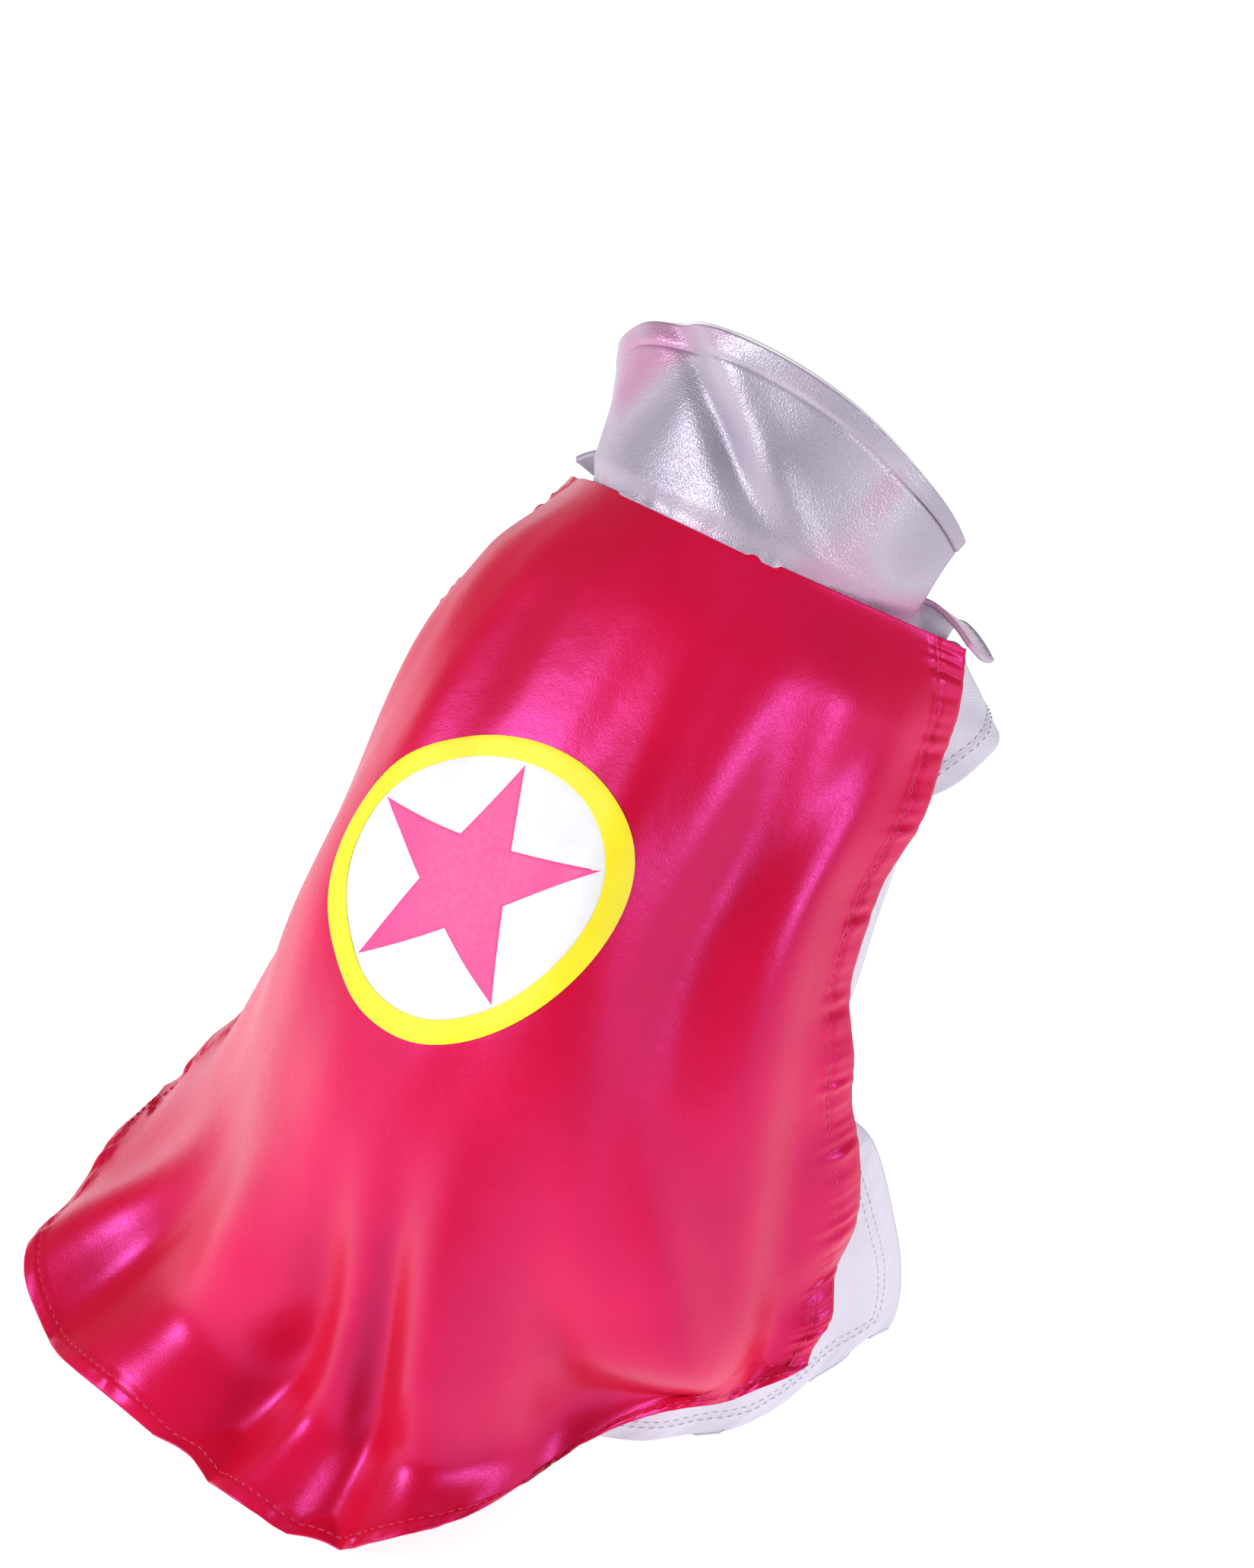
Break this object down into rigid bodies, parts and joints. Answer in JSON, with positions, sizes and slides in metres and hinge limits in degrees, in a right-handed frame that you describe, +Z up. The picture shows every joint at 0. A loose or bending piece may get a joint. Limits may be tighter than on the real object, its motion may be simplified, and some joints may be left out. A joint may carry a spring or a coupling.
{
  "type": "superhero cape for a toy-breed dog",
  "caption": "Crimson satin cape with a round star print and stand-up silver collar, sewn to a white dog shirt.",
  "frame": {"origin": "centre of the neck opening, where the wearer's neck holds the garment up", "axes": "+X the wearer's right, +Y the way the wearer faces, +Z up"},
  "size_m": [0.2138, 0.2412, 0.2632],
  "materials": {
    "crimson_satin": "satin",
    "crimson_thread": "satin",
    "silver_satin": "satin",
    "silver_facing": "matte",
    "silver_thread": "satin",
    "interfacing": "matte",
    "white_tape": "matte",
    "white_jersey": "matte",
    "white_thread": "matte",
    "hook_strip": "matte",
    "loop_strip": "matte",
    "label": "matte",
    "print_yellow": "satin",
    "print_white": "satin",
    "print_pink": "satin"
  },
  "bodies": {
    "garment": {"cape_shoulder_panel": "crimson_satin", "cape_shoulder_thread_left": "crimson_thread", "cape_shoulder_thread_right": "crimson_thread", "collar_outer": "silver_satin", "collar_interfacing": "interfacing", "collar_facing": "silver_facing", "collar_edge_thread": "silver_thread", "neck_tape": "white_tape", "shirt_back_panel": "white_jersey", "shirt_chest_panel": "white_jersey", "belly_flap_right": "white_jersey", "hook_pad": "hook_strip", "care_label": "label", "sleeve_left": "white_jersey", "sleeve_right": "white_jersey", "sleeve_thread_left": "white_thread", "sleeve_thread_right": "white_thread", "skirt_panel": "white_jersey", "skirt_hem_thread": "white_thread"},
    "cape_back": {"cape_back_panel": "crimson_satin", "cape_hem_thread": "crimson_thread", "emblem_ring": "print_yellow", "emblem_disc": "print_white", "emblem_star": "print_pink"},
    "collar_point_left": {"collar_wing_left": "silver_satin"},
    "collar_point_right": {"collar_wing_right": "silver_satin"},
    "belly_closure": {"belly_flap_left": "white_jersey", "loop_pad": "loop_strip"}
  },
  "joints": [
    {"name": "cape_lift", "type": "hinge", "parent": "garment", "child": "cape_back", "pos_m": [0, -0.05, 0.02981], "axis": [-1, 0, 0], "range_deg": [0, 75]},
    {"name": "collar_point_left_turn", "type": "hinge", "parent": "garment", "child": "collar_point_left", "pos_m": [-0.04626, 0.00886, 0.00034], "axis": [0.115, 0.7024, -0.7024], "range_deg": [0, 75]},
    {"name": "collar_point_right_turn", "type": "hinge", "parent": "garment", "child": "collar_point_right", "pos_m": [0.04626, 0.00886, 0.00034], "axis": [0.115, -0.7024, 0.7024], "range_deg": [0, 75]},
    {"name": "belly_flap_open", "type": "hinge", "parent": "garment", "child": "belly_closure", "pos_m": [-0.05478, -0.03027, -0.08383], "axis": [0.1207, 0.6918, 0.712], "range_deg": [0, 80]}
  ]
}
